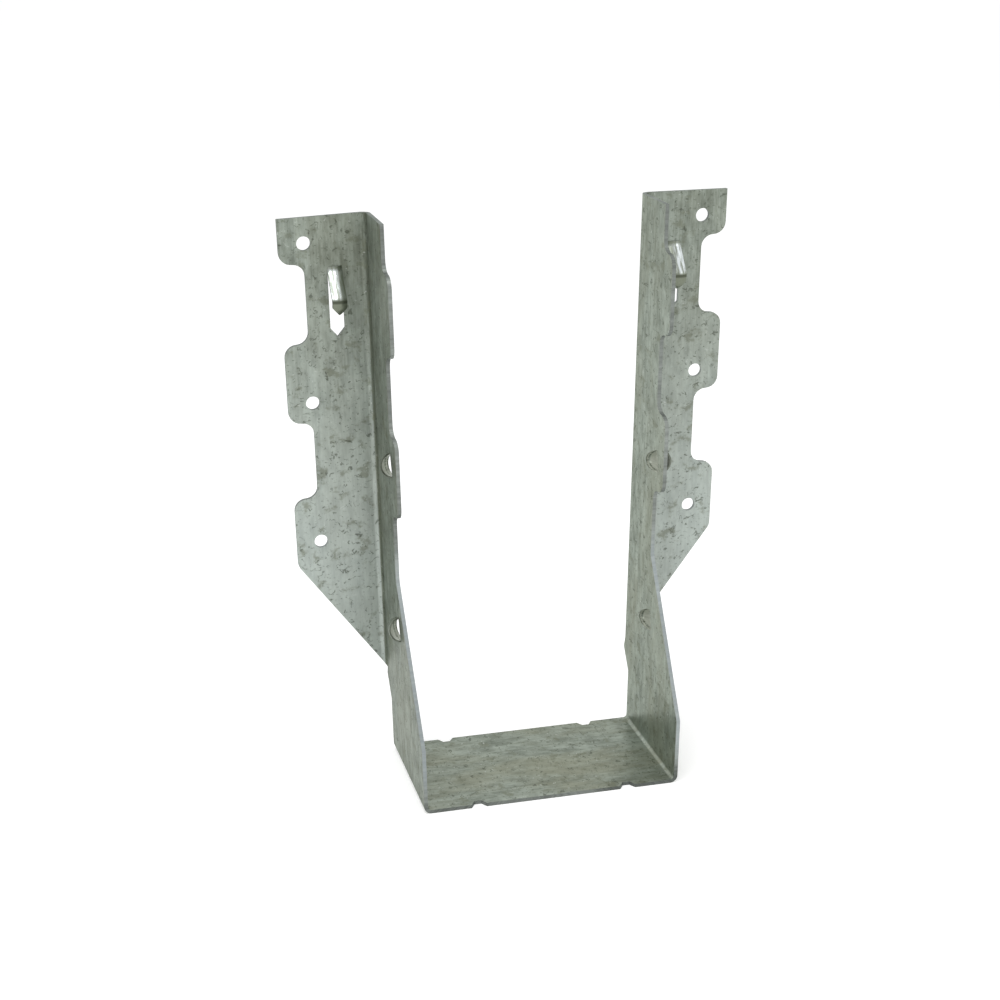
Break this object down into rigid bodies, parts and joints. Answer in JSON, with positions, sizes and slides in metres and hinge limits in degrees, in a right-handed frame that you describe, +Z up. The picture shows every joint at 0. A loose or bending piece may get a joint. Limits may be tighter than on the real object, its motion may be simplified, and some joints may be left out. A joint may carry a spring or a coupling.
{
  "type": "joist hanger",
  "caption": "Face-mount joist hanger folded from galvanised sheet: a U-shaped seat with scalloped header flanges, nail holes, prongs and nail domes.",
  "frame": {"origin": "middle of the width and depth, on the underside of the seat", "axes": "+Y points to the header beam, +Z up along the side plates, and the joist lies along Y"},
  "size_m": [0.1422, 0.0508, 0.1778],
  "materials": {
    "galvanised_steel": "dull galvanised, grey-green, with faint vertical grain, small smudges and darker spangle flecks"
  },
  "bodies": {
    "root": {"hanger": "galvanised_steel"}
  },
  "joints": []
}
